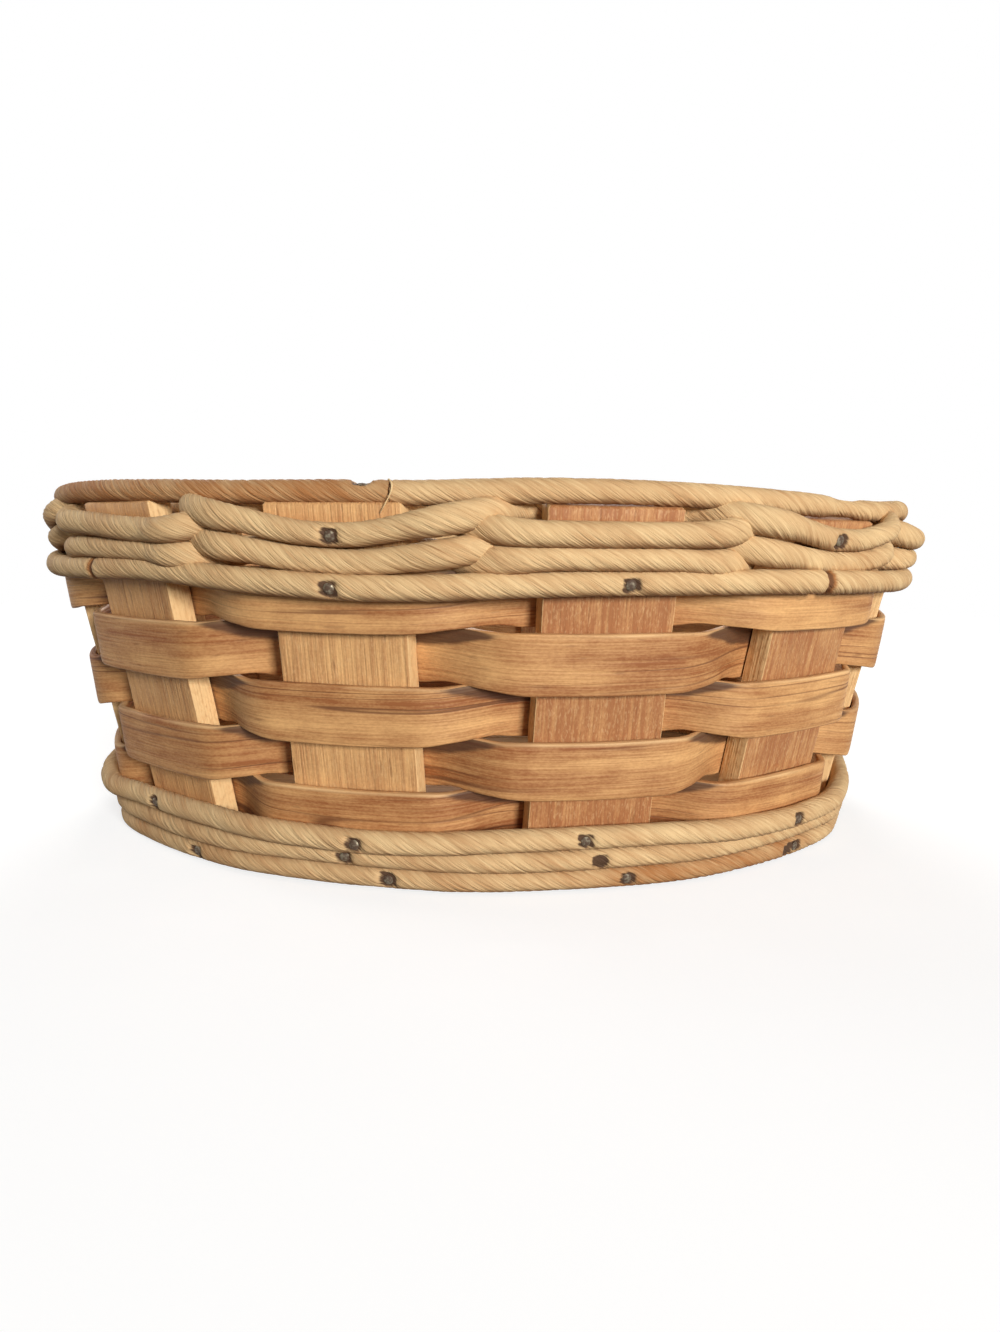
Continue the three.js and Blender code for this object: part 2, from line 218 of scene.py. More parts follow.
def add_wood(nodes, grain, tone, pale, dark, line, **figure):
    """Wood in these colours, and how strong its figure, bands, lines and pores are."""
    given = {"Grain": grain, "Tone": tone, "Pale": srgb(*pale), "Dark": srgb(*dark), "Line": srgb(*line)}
    given.update({name.capitalize(): value for name, value in figure.items()})
    return nodes.add("ShaderNodeGroup", given, node_tree=wood_grain).outputs


def oval_place(turn):
    """A point of the oval on the ground, and the way it faces."""
    place = Vector((OVAL_HALF_LENGTH * math.sin(turn), -OVAL_HALF_WIDTH * math.cos(turn), 0))
    facing = Vector((math.sin(turn) / OVAL_HALF_LENGTH, -math.cos(turn) / OVAL_HALF_WIDTH, 0))
    return place, facing.normalized()


def saw_plank(index):
    """The oval board between two saw cuts, with its edges eased."""
    board = bmesh.new()
    inset = (STAKE_THICKNESS / 2 + FIT_GAP) / math.cos(WALL_LEAN)
    rings = []
    for height in (0, BASE_THICKNESS):
        ring = []
        for corner in range(BASE_CORNERS):
            place, facing = oval_place((corner + 0.5) / BASE_CORNERS * math.tau)
            outline = place + facing * (height * math.tan(WALL_LEAN) - inset)
            ring.append(board.verts.new((outline.x, outline.y, height)))
        rings.append(ring)
    lower, upper = rings
    board.faces.new(reversed(lower))
    board.faces.new(upper)
    for corner in range(BASE_CORNERS):
        following = (corner + 1) % BASE_CORNERS
        board.faces.new((lower[corner], lower[following], upper[following], upper[corner]))
    front = index * PLANK_WIDTH - OVAL_HALF_WIDTH
    cuts = [(front + GLUE_LINE / 2, -1)] if index > 0 else []
    cuts += [(front + PLANK_WIDTH - GLUE_LINE / 2, 1)] if index + 1 < PLANKS else []
    for place, side in cuts:
        sawn = bmesh.ops.bisect_plane(
            board, geom=board.verts[:] + board.edges[:] + board.faces[:], dist=SAW_TOLERANCE,
            plane_co=(0, place, 0), plane_no=(0, side, 0), clear_outer=True)
        edges = [piece for piece in sawn["geom_cut"] if isinstance(piece, bmesh.types.BMEdge)]
        bmesh.ops.contextual_create(board, geom=edges)
    bmesh.ops.recalc_face_normals(board, faces=board.faces[:])
    sharp = [edge for edge in board.edges if edge.calc_face_angle(0) > BEVELLED_ANGLE]
    bmesh.ops.bevel(board, geom=sharp, offset=PLANK_BEVEL, segments=2, profile=0.5, affect="EDGES")
    return board


def add_object(name, data):
    """Put a mesh, a lamp or a camera into the scene, at the origin."""
    piece = bpy.data.objects.new(name, data)
    bpy.context.scene.collection.objects.link(piece)
    return piece


def shade(mesh, sharp_angle):
    """Show a mesh as smooth, but for its sharp edges."""
    mesh.shade_smooth()
    mesh.set_sharp_from_angle(angle=sharp_angle)


def fit_piece(piece, slot, *nodes):
    """A piece takes the place of its solids and goes with the basket."""
    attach(piece, "root")
    if nodes:
        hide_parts(*nodes)


# Sawn softwood, sanded on the flat.
base_wood, nodes = start_material("base_wood")
wood = add_wood(
    nodes, nodes.attribute("grain"), 0.0, (222, 180, 126), (180, 128, 78), (138, 88, 48),
    figure=0.3, bands=160.0, lines=0.7, pores=0.25)
end_material(nodes, wood["Colour"], wood["Roughness"], wood["Height"], 0.4, 0.2 * MM)

base_mesh = bpy.data.meshes.new("base_board.planks")
base_planks = bmesh.new()
for index in range(PLANKS):
    plank = saw_plank(index)
    grain = plank.verts.layers.float_vector.new("grain")
    for corner in plank.verts:
        corner[grain] = (corner.co.z, corner.co.y, corner.co.x + index * PLANK_GRAIN_SHIFT)
    plank_mesh = bpy.data.meshes.new("plank")
    plank.to_mesh(plank_mesh)
    base_planks.from_mesh(plank_mesh)
    bpy.data.meshes.remove(plank_mesh)
base_planks.to_mesh(base_mesh)
base_mesh.materials.append(base_wood)
shade(base_mesh, BASE_SHARP_ANGLE)
fit_piece(add_object("base_planks", base_mesh), "base_wood", "base_board")


# Stakes
# Twelve upright slats of rough-sawn wood, leaning outwards, nailed to the base at their feet. Their faces
# show fine upright streaks, and the sawn edges are paler. No two came from the same board.
STAKE_COUNT = 12  # the tables below start right of the middle of the front
STAKE_WIDTH = 37.5 * MM
STAKE_ARRIS = 0.6 * MM  # what the saw and the years took off the ends
STAKE_STEP = 4 * MM  # between the rings of a slat
STAKE_TONES = (0.41, 0.35, 0.04, 0.2, -0.04, 0.24, 0.08, 0.18, 0.0, 0.08, -0.08, -0.1)
STAKE_CUTS = (0.4, 2.6, 2.2, 1.0, 0.3, 0.6, 0.0, 0.4, 0.2, 0.2, -0.5, 0.1)  # millimetres cut short
STAKE_SHIFTS = (0.2, 0.0, 0.3, -0.4, 0.5, 0.0, -0.3, 0.4, 0.0, 0.2, 0.5, 1.6)  # millimetres aside
STAKE_SPARES = (0.6, 0.0, 0.3, -0.3, 0.4, 0.1, 0.0, 0.5, -0.2, 0.3, -2.0, 1.2)  # millimetres wider
STAKE_WIDTH_WAVER = (0.35 * MM, 26 * MM)  # size and wavelength
STAKE_THICKNESS_WAVER = (0.15 * MM, 18 * MM)
STAKE_SWAY = (0.5 * MM, 70 * MM)
STAKE_SECTION = {"sides": 44, "squareness": 44, "unevenness": 0.3 * MM}
STAKE_GRAIN_SHIFT = 1.7
SWEPT_SHARP_ANGLE = math.radians(50)

WallFrame = namedtuple("WallFrame", "foot off along up")
Station = namedtuple("Station", "point off rise half_out half_high dent tone")


def make_wall_frame(stake):
    """A stake's foot, and the ways off it, along its width and up its length."""
    foot, facing = oval_place((stake + 0.5) / STAKE_COUNT * math.tau)
    upright = Vector((0, 0, 1))
    off = facing * math.cos(WALL_LEAN) - upright * math.sin(WALL_LEAN)
    up = facing * math.sin(WALL_LEAN) + upright * math.cos(WALL_LEAN)
    return WallFrame(foot, off, Vector((-facing.y, facing.x, 0)), up)


wall = [make_wall_frame(stake) for stake in range(STAKE_COUNT)]


def on_wall(stake, along, level, offset):
    """A point by a stake: so far along its width, up its length and off its middle."""
    here = wall[stake % STAKE_COUNT]
    return here.foot + here.along * along + here.up * level + here.off * offset


def wall_level(node, offset=0.0):
    """How far up the wall a solid's middle lies, this far off the middle of the stakes."""
    low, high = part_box(node)
    return ((low.z + high.z) / 2 + offset * math.sin(WALL_LEAN)) / math.cos(WALL_LEAN)


def waver(seed, place, size, wavelength):
    """A smooth unevenness of handwork, at most this size either way."""
    return size * noise.noise(Vector((place / wavelength, 7.31 * seed + 0.5, 0.5)))


def end_tree(nodes, geometry, finish, output):
    """Make what a tree has built real, and give it its material."""
    real = nodes.get("GeometryNodeRealizeInstances", {"Geometry": geometry})
    done = nodes.get("GeometryNodeSetMaterial", {"Geometry": real, "Material": finish})
    nodes.add("NodeGroupOutput", {output: done})


def make_sweep():
    """Carry a section along a path whose points say how it is turned and how large it is."""
    nodes, given = make_group(
        "Section along a path", "GeometryNodeTree",
        {"Geometry": ["Path"], "Int": ["Sides", "Ridges"],
         "Float": [
             "Squareness", "Turns per metre", "Ridge depth", "Dent depth", "Unevenness", "Grain start"],
         "Material": ["Finish"]},
        {"Geometry": ["Piece"]})
    times, minus, vector, read = nodes.times, nodes.minus, nodes.vector, nodes.read

    def carry(curve, **fields):
        """A curve that hands these values on to what is made from it."""
        node = nodes.add("GeometryNodeCaptureAttribute", {"Geometry": curve}, domain="POINT")
        for name, (kind, value) in fields.items():
            node.capture_items.new(kind, name)
            nodes.tree.links.new(value, node.inputs[name])
        return node.outputs

    def squared(operation, angle):
        wave = nodes.math(operation, angle)
        power = nodes.math("DIVIDE", 2.0, given["Squareness"])
        size = nodes.math("POWER", nodes.math("ABSOLUTE", wave), power)
        return times(size, nodes.math("SIGN", wave))

    def rough(across, up, per_metre, detail):
        place = vector(across, up, times(along, per_metre))
        place = nodes.vectors("ADD", place, vector(given["Grain start"], 0.0, 0.0))
        return nodes.noise(place, 1.0, detail)

    path = nodes.get("GeometryNodeMeshToCurve", {"Mesh": given["Path"]})
    circle = nodes.get("GeometryNodeCurvePrimitiveCircle", {"Resolution": given["Sides"]}, mode="RADIUS")
    way = nodes.add("GeometryNodeSplineParameter").outputs
    place = nodes.get("GeometryNodeInputPosition")
    follow = carry(path, Middle=("VECTOR", place), Along=("FLOAT", way["Length"]))
    section = carry(circle, Turn=("FLOAT", way["Factor"]))
    skin = nodes.get("GeometryNodeCurveToMesh", {
        "Curve": follow["Geometry"], "Profile Curve": section["Geometry"], "Fill Caps": True})

    along = follow["Along"]
    turn = times(section["Turn"], math.tau)
    laid = minus(turn, times(times(along, given["Turns per metre"]), math.tau))
    out, high = squared("COSINE", laid), squared("SINE", laid)
    uneven = rough(out, high, 130.0, 2.0)
    stray = rough(nodes.math("COSINE", turn), nodes.math("SINE", turn), 55.0, 1.0)
    ridge_turn = times(stray, 5.0, times(turn, nodes.math("DIVIDE", given["Ridges"], 2.0)))
    ridge = nodes.math("ABSOLUTE", nodes.math("SINE", ridge_turn))
    valley = times(minus(1.0, ridge), nodes.ease(stray, 0.3, 0.6, 0.35))
    swell = times(minus(uneven, 0.5), given["Unevenness"])
    swell = minus(swell, times(valley, given["Ridge depth"]))
    half_out = nodes.math("ADD", read("half_out"), swell)
    half_high = nodes.math("ADD", read("half_high"), swell)

    # The mark is a rope's nail pits and a strip's tucked share; the strip's material paints shade from it.
    ragged = times(minus(stray, 0.5), 0.5, out)
    pit_and_tuck_mark = times(read("dent"), nodes.ease(ragged, 0.6, 0.95))
    reach_out = minus(times(out, half_out), times(pit_and_tuck_mark, given["Dent depth"]))
    place = nodes.vectors("ADD", follow["Middle"], nodes.scaled(read("off", "FLOAT_VECTOR"), reach_out))
    rise = nodes.scaled(read("rise", "FLOAT_VECTOR"), times(high, half_high))
    above_ground = nodes.vectors("MAXIMUM", nodes.vectors("ADD", place, rise), (-10.0, -10.0, 0.0))
    piece = nodes.get("GeometryNodeSetPosition", {"Geometry": skin, "Position": above_ground})
    piece = nodes.get("GeometryNodeFlipFaces", {"Mesh": piece})  # to point outwards

    grain = vector(
        times(squared("COSINE", turn), read("half_out")), times(squared("SINE", turn), read("half_high")),
        nodes.math("ADD", along, given["Grain start"]))
    # How far below its middle a point lies: the rope material paints shade on the underside from it.
    drop = nodes.split(nodes.vectors("SUBTRACT", follow["Middle"], above_ground))["Z"]
    under = nodes.math("DIVIDE", drop, read("half_high"))
    # The stored vector holds the height round the section, the valley share and the mark; the materials
    # paint sawn and rubbed edges, a painted highlight and painted shade from it.
    for name, value, kind in (
            ("grain", grain, "FLOAT_VECTOR"), ("wear_and_shade", vector(high, valley, pit_and_tuck_mark), "FLOAT_VECTOR"),
            ("under", under, "FLOAT")):
        piece = nodes.get("GeometryNodeStoreNamedAttribute", {
            "Geometry": piece, "Name": name, "Value": value}, data_type=kind, domain="POINT")
    end_tree(nodes, piece, given["Finish"], "Piece")
    return nodes.tree


sweep = make_sweep()


def give_attributes(mesh, points, vectors, numbers):
    """Let a mesh carry these fields of what its points stand for."""
    for field in vectors:
        flat = [part for point in points for part in getattr(point, field)]
        mesh.attributes.new(field, "FLOAT_VECTOR", "POINT").data.foreach_set("vector", flat)
    for field in numbers:
        flat = [getattr(point, field) for point in points]
        mesh.attributes.new(field, "FLOAT", "POINT").data.foreach_set("value", flat)


def apply_nodes(piece, tree, values):
    """Run a piece's mesh through a tree, and keep the result as a plain mesh."""
    modifier = piece.modifiers.new(tree.name, "NODES")
    modifier.node_group = tree
    named = {key.replace("_", " ").capitalize(): value for key, value in values.items()}
    for socket in tree.interface.items_tree:
        if socket.in_out == "INPUT" and socket.name in named:
            modifier[socket.identifier] = named[socket.name]
    depsgraph = bpy.context.evaluated_depsgraph_get()
    made = piece.evaluated_get(depsgraph)
    mesh = bpy.data.meshes.new_from_object(made, preserve_all_data_layers=True, depsgraph=depsgraph)
    piece.modifiers.clear()
    piece.data = mesh
    return mesh


def sweep_piece(name, stations, **values):
    """Make a piece by carrying its section along its stations."""
    path = bpy.data.meshes.new(name + ".path")
    links = [(n, n + 1) for n in range(len(stations) - 1)]
    path.from_pydata([station.point for station in stations], links, [])
    give_attributes(path, stations, ("off", "rise"), ("half_out", "half_high", "dent", "tone"))
    piece = add_object(name, path)
    mesh = apply_nodes(piece, sweep, values)
    for field in ("off", "rise", "half_out", "half_high", "dent"):
        mesh.attributes.remove(mesh.attributes[field])
    shade(mesh, SWEPT_SHARP_ANGLE)
    return piece


# Rough-sawn: streaked faces in the colour of their board, and pale sawn edges.
stake_wood, nodes = start_material("stake_wood")
grain = nodes.attribute("grain")
wood = add_wood(
    nodes, grain, nodes.attribute("tone", "Fac"), (231, 181, 120), (162, 105, 63), (122, 76, 42),
    figure=0.14, bands=520.0, lines=0.25, pores=0.4)
flecks = nodes.streaks(grain, 3, 1700, 2, between=(0.54, 0.68))
colour = nodes.blend(nodes.times(flecks, 0.2), wood["Colour"], srgb(240, 202, 148))
sawn = nodes.streaks(grain, 2, 900, 3, between=(0.3, 0.56, 0.5))
aside = nodes.math("ABSOLUTE", nodes.split(nodes.attribute("wear_and_shade"))["X"])
edge = nodes.times(nodes.ease(aside, 0.984, 0.995), sawn)
colour = nodes.blend(edge, colour, srgb(232, 192, 136))
saw_marks = nodes.streaks(grain, 0.25, 420, 2)
height = nodes.times(saw_marks, 0.5, wood["Height"])
end_material(nodes, colour, wood["Roughness"], height, 0.55, 0.25 * MM)

stake_face = STAKE_THICKNESS / 2
stake_top = (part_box("stake_01")[1].z - stake_face * math.sin(WALL_LEAN)) / math.cos(WALL_LEAN)
stake_toe = stake_face * math.tan(WALL_LEAN)


def stake_stations(stake):
    """Up the middle of a slat, with its ends eased and its width uneven."""
    here = wall[stake]
    length = stake_top + stake_toe - STAKE_CUTS[stake] * MM
    width = STAKE_WIDTH + STAKE_SPARES[stake] * MM
    steps = round(length / STAKE_STEP)
    between = [step * length / steps for step in range(1, steps)]
    stations = []
    for level in [0, STAKE_ARRIS, *between, length - STAKE_ARRIS, length]:
        eased = STAKE_ARRIS if level in (0, length) else 0
        half_width = width / 2 - eased + waver(stake, level, *STAKE_WIDTH_WAVER)
        half_thick = stake_face - eased + waver(stake + 20, level, *STAKE_THICKNESS_WAVER)
        lean_aside = STAKE_SHIFTS[stake] * MM + waver(stake + 40, level, *STAKE_SWAY)
        point = on_wall(stake, lean_aside, level - stake_toe, 0)
        stations.append(Station(
            point, here.off, -here.along, half_thick, half_width, 0.0, STAKE_TONES[stake]))
    return stations


for stake in range(STAKE_COUNT):
    number = f"{stake + 1:02d}"
    slat = sweep_piece(
        f"slat_{number}", stake_stations(stake), finish=stake_wood, **STAKE_SECTION,
        grain_start=STAKE_GRAIN_SHIFT * stake)
    fit_piece(slat, "stake_wood", f"stake_{number}")


# Weavers
# Five hoops of wide split wood, woven wet over one stake and under the next, so that they dried in their
# bends. Each has its ends lapped inside a stake at the back.
WEAVER_ROWS = 5
WEAVER_THICKNESS = 2.5 * MM
WEAVER_OVER_WIDTH = 17.6 * MM  # where a strip lies on a stake
WEAVER_UNDER_WIDTH = 19.4 * MM  # where it lies flat behind one
WEAVER_CROSSING_WIDTH = 16.4 * MM  # where two strips pass each other
WEAVER_BOW = 0.085  # how far a strip turns off the wall at the edges of a stake, in radians
WEAVER_TILT = 0.075  # a straight strip on a flared wall stands off at its lower edge, radians
WEAVER_STAND = 0.5 * MM  # and so its middle stands off by this
WEAVER_SETTLE = (0.6, 1.2, 1.1, 0.6, 0.3)  # millimetres that rows lie lower than drawn, top row first
WEAVER_TONES = (-0.17, 0.02, -0.06, 0.02, 0.05)
WEAVER_LEVEL_WAVER = (0.6 * MM, 1.7)  # size, and wavelength in stakes
WEAVER_WIDTH_WAVER = (0.25 * MM, 34 * MM)
WEAVER_TONE_WAVER = (0.16, 90 * MM)
WEAVER_SECTION = {"sides": 32, "squareness": 9, "unevenness": 0.3 * MM}
WEAVER_GRAIN_SHIFT = 2.9
BACK_STAKE = STAKE_COUNT // 2
STRAIGHT_REACH = 20.35 * MM  # what lies on a stake is straight this far from its middle
BEND = 0.38  # how long the bends are, as a share of their stretch
CROSSING_EASE = 0.32  # the share of a gap in which a strip or rope gets to its crossing form
LAYING_STEP = 2.2 * MM

Knot = namedtuple("Knot", "place run up outside", defaults=[0])
Laid = namedtuple("Laid", "point up crossing outside", defaults=[0])


def is_outside(row, stake):
    """Whether a row passes outside a stake, where its neighbours don't."""
    return (stake % STAKE_COUNT + row) % 2 == 0


def smooth(share):
    """0 to 1 with no corners."""
    share = min(max(share, 0.0), 1.0)
    return share * share * (3 - 2 * share)


def lay_round(knots, step):
    """Points along a smooth path by way of its knots, two at each stake."""
    laid = []
    for index, (here, following) in enumerate(zip(knots, knots[1:])):
        span = (following.place - here.place).length
        steps = max(2, round(span / step))
        points = interpolate_bezier(
            here.place, here.place + here.run * span * BEND,
            following.place - following.run * span * BEND, following.place, steps + 1)
        in_gap = index % 2
        for number, point in enumerate(points[:-1]):
            share = number / steps
            crossing = in_gap * smooth(min(share, 1 - share) / CROSSING_EASE)
            outside = here.outside + (following.outside - here.outside) * smooth(share)
            laid.append(Laid(point, here.up.lerp(following.up, share).normalized(), crossing, outside))
    laid.append(Laid(knots[-1].place, knots[-1].up, 0))
    return laid


def section_ways(laid):
    """At each point: the distance so far, and the ways off the wall and up, square to the path."""
    ways = []
    distance = 0.0
    for index, here in enumerate(laid):
        before, after = laid[max(index - 1, 0)], laid[min(index + 1, len(laid) - 1)]
        run = (after.point - before.point).normalized()
        off = run.cross(here.up).normalized()
        distance += (here.point - before.point).length
        ways.append((distance, off, off.cross(run).normalized()))
    return ways


# Split wood: long grain; a pale upper edge, partly rubbed and partly a painted highlight; a painted shade
# along the lower edge; and painted shade where it tucks in under the row above.
weaver_wood, nodes = start_material("weaver_wood")
grain = nodes.attribute("grain")
wood = add_wood(
    nodes, grain, nodes.attribute("tone", "Fac"), (232, 180, 118), (146, 88, 46), (100, 58, 30),
    figure=0.36, bands=150.0, lines=0.85, pores=0.3)
wear_and_shade = nodes.split(nodes.attribute("wear_and_shade"))
# The pale upper edge: partly rubbed, partly a painted highlight where the top catches the light.
rubbed_and_highlight = nodes.times(nodes.streaks(grain, 6, 160, 3, between=(0.3, 0.6)), 0.55)
edge = nodes.times(nodes.ease(wear_and_shade["X"], 0.86, 0.98), rubbed_and_highlight)
colour = nodes.blend(edge, wood["Colour"], srgb(240, 200, 144))
# Painted shade: the lowest edge of each strip is darkened.
painted_lower_edge_shade = nodes.times(nodes.ease(wear_and_shade["X"], -0.99, -0.94, 1.0, 0.0), 0.45)
colour = nodes.blend(painted_lower_edge_shade, colour, srgb(112, 68, 36))
# Painted shade: a dark wedge where a strip tucks behind a stake, reaching down from the row above.
reach = nodes.times(wear_and_shade["Z"], 0.85, wear_and_shade["X"])
reach = nodes.times(nodes.streaks(grain, 3, 300, 2), 0.3, reach)
painted_tuck_shade = nodes.times(nodes.ease(reach, 1.08, 1.28), nodes.ease(wear_and_shade["Z"], 0.04, 0.3))
colour = nodes.blend(nodes.times(painted_tuck_shade, 0.88), colour, srgb(70, 40, 22))
end_material(nodes, colour, wood["Roughness"], wood["Height"], 0.45, 0.2 * MM)

weaver_offset = stake_face + FIT_GAP + WEAVER_THICKNESS / 2
lapped_offset = weaver_offset + WEAVER_THICKNESS + FIT_GAP
weaver_middle = (weaver_offset - lapped_offset) / 2


def weaver_stations(row):
    """Once round and a lap: bowed over the stakes outside, under the ones between."""
    first = BACK_STAKE + (1 if is_outside(row, BACK_STAKE) else 0)
    level = wall_level(f"weaver_{row}", weaver_middle) - WEAVER_SETTLE[row - 1] * MM
    knots = []
    for turn in range(STAKE_COUNT + 1):
        stake = first + turn
        here = wall[stake % STAKE_COUNT]
        side = 1 if is_outside(row, stake) else -1
        offset = -lapped_offset if turn == STAKE_COUNT else side * weaver_offset
        uneven_level = level + waver(row, turn, *WEAVER_LEVEL_WAVER)
        for end in (-1, 1):
            run = here.along * math.cos(WEAVER_BOW) - here.off * (side * end * math.sin(WEAVER_BOW))
            place = on_wall(stake, end * STRAIGHT_REACH, uneven_level, offset)
            knots.append(Knot(place, run, here.up, max(side, 0)))
    laid = lay_round(knots, LAYING_STEP)
    stations = []
    for here, (distance, off, rise) in zip(laid, section_ways(laid)):
        width = WEAVER_UNDER_WIDTH + (WEAVER_OVER_WIDTH - WEAVER_UNDER_WIDTH) * here.outside
        width += (WEAVER_CROSSING_WIDTH - width) * here.crossing
        half_width = width / 2 + waver(row + 60, distance, *WEAVER_WIDTH_WAVER)
        point = here.point + off * (WEAVER_STAND * here.outside)
        tilt = WEAVER_TILT * here.outside
        tone = WEAVER_TONES[row - 1] + waver(row + 80, distance, *WEAVER_TONE_WAVER)
        # A strip's dent share is how far it is tucked behind a stake; its material paints shade from it.
        stations.append(Station(
            point, off + rise * tilt, rise - off * tilt, WEAVER_THICKNESS / 2, half_width, 1 - here.outside,
            tone))
    return stations


for row in range(1, WEAVER_ROWS + 1):
    strip = sweep_piece(
        f"strip_{row}", weaver_stations(row), finish=weaver_wood, **WEAVER_SECTION,
        grain_start=WEAVER_GRAIN_SHIFT * row)
    fit_piece(strip, "weaver_wood", f"weaver_{row}")


# Foot ropes
# Three turns of fibre rope round the foot, twisted from split plant stems, one above the other. The upper
# one stands out over the lowest strip. Nails sink into the rope and stain it, and their pits carry painted
# shade.
FOOT_ROPE_RADIUS = 3.35 * MM
HEM_ROPE_RADIUS = 3.55 * MM
FOOT_ROPE_OFFSET = 7.2 * MM  # the rope's middle off the middle of a bare stake
STRIP_LIFT = 2.8 * MM  # how much further off it is over a strip
NAIL_PIT_DEPTH = 1.5 * MM
NAIL_PIT_WIDTH = 2.6 * MM
ROPE_SECTION = {
    "sides": 44, "squareness": 2.0, "turns_per_metre": 32, "ridges": 11, "ridge_depth": 0.27 * MM,
    "dent_depth": NAIL_PIT_DEPTH, "unevenness": 0.35 * MM}
ROPE_GRAIN_SHIFT = 1.3
ROPE_STEP = 1.05 * MM
ROPE_SWELL = (0.06, 38 * MM)  # how much thicker or thinner a rope gets, as a share, and how often
ROPE_STRAY_OUT = (0.35 * MM, 30 * MM)  # how far it strays from its path
ROPE_STRAY_UP = (0.35 * MM, 46 * MM)
BUTT_GAP = 0.6 * MM  # between the two ends of one rope
BESIDE_NAIL = STAKE_WIDTH / 4  # where the ends meet, from the middle of a stake
SEAM_WIDTH = 1.5 * MM  # where a rope was pieced
SEAM_DEPTH = 0.3
SEAM_TONE = 1.3
THIN_WIDTH = 9 * MM  # where a rope has worn thin
THIN_DEPTH = 0.26
NAIL_SHIFT = 3.5  # millimetres from the middle of a stake to the nails in its hem and band
FOOT_NAIL_SHIFT = 11
HEM_NAIL_LENGTH = 15 * MM
FOOT_NAIL_LENGTH = 24 * MM
TACK_LENGTH = 9 * MM
MIDDLE_TACKS = ((11, -1.0), (3, 4.0), (5, -6.0), (8, 2.0))  # stake, millimetres along it
UPPER_TACKS = ((10, -7.0), (0, -2.8), (2, 5.0), (4, -3.0), (6, -5.5), (8, 1.5))
# Old nail holes: stained pits, with painted shade in them.
MIDDLE_STAINS = ((0, 2.2), (7, -4.0))  # where an old nail has come out
LOWER_STAINS = ((1, 6.5), (6, -3.0))
FOOT_TONE = 0.14  # the lower foot rope is browner,
OLD_STRETCH = (0.509, 0.6)  # and most of all in this part of its length
OLD_TONE = 0.36
OLD_EDGE = 0.015

Course = namedtuple("Course", "level offset_at")
Nail = namedtuple("Nail", "head axis length")
nail_places = {}  # filled rope by rope, for the nails that come last


# Plant fibre: pale straw with brown stems, darker in the valleys between the twists, painted shade with
# some dirt underneath, and stained at nails with painted shade in their pits.
rope_fibre, nodes = start_material("rope")
grain, tone = nodes.attribute("grain"), nodes.attribute("tone", "Fac")
wear_and_shade = nodes.split(nodes.attribute("wear_and_shade"))
fine = nodes.streaks(grain, 12, 2300, 3, between=(0.28, 0.72))
stems = nodes.streaks(grain, 9, 780, 3, between=(0.3, 0.7))
patches = nodes.streaks(grain, 2, 75, 3, between=(0.35, 0.72))
brown = nodes.times(stems, 0.24, nodes.times(fine, 0.24))
brown = nodes.math("ADD", nodes.times(patches, 0.26, brown), tone, clamp=True)
colour = nodes.blend(brown, srgb(233, 200, 148), srgb(172, 116, 68))
colour = nodes.blend(nodes.ease(tone, 0.7, 1.2, 0.0, 0.85), colour, srgb(92, 58, 36))
# Darker in the valleys between the twists, patchy along the stems.
valley_darkening = nodes.times(nodes.ease(wear_and_shade["Y"], 0.6, 1.0), nodes.ease(stems, 0.25, 0.9))
colour = nodes.blend(nodes.times(valley_darkening, 0.6), colour, srgb(122, 78, 42))
# Darker underneath: painted shade with some dirt, patchy along the stems.
dirt_and_underside_shade = nodes.times(stems, 0.16, nodes.attribute("under", "Fac"))
colour = nodes.blend(nodes.ease(dirt_and_underside_shade, 0.45, 1.1, 0.0, 0.8), colour, srgb(112, 70, 38))
# At nails and old nail holes: a stain, with painted shade in the pit.
nail_stain_and_pit_shade = nodes.times(wear_and_shade["Z"], nodes.times(stems, 0.9, 0.55))
colour = nodes.blend(nodes.ease(nail_stain_and_pit_shade, 0.22, 0.72), colour, srgb(84, 60, 42))
height = nodes.times(stems, 0.8, fine)
end_material(nodes, colour, nodes.times(fine, 0.14, 0.68), height, 0.7, 0.25 * MM, specular=0.25)


def nailed_path(course, joint_stake, joint, lifts_at=lambda stake: (0.0, 0.0)):
    """The path of a nailed rope: once round by the edges of the stakes, end to end."""
    places = []
    for turn in range(STAKE_COUNT + 1):
        stake = joint_stake + turn
        start = joint + BUTT_GAP / 2 if turn == 0 else -STRAIGHT_REACH
        end = joint - BUTT_GAP / 2 if turn == STAKE_COUNT else STRAIGHT_REACH
        for along, lift in zip((start, end), lifts_at(stake % STAKE_COUNT)):
            place = on_wall(stake, along, course.level + lift * MM, course.offset_at(stake))
            places.append((place, wall[stake % STAKE_COUNT].up))
    knots = []
    for index, (place, up) in enumerate(places):
        before, after = places[max(index - 1, 0)][0], places[min(index + 1, len(places) - 1)][0]
        knots.append(Knot(place, (after - before).normalized(), up))
    return lay_round(knots, ROPE_STEP)


def closeness(point, places, width):
    """1 at any of these places, almost nothing further off than this width."""
    return max((math.exp(-((point - place).length / width) ** 4) for place in places), default=0.0)


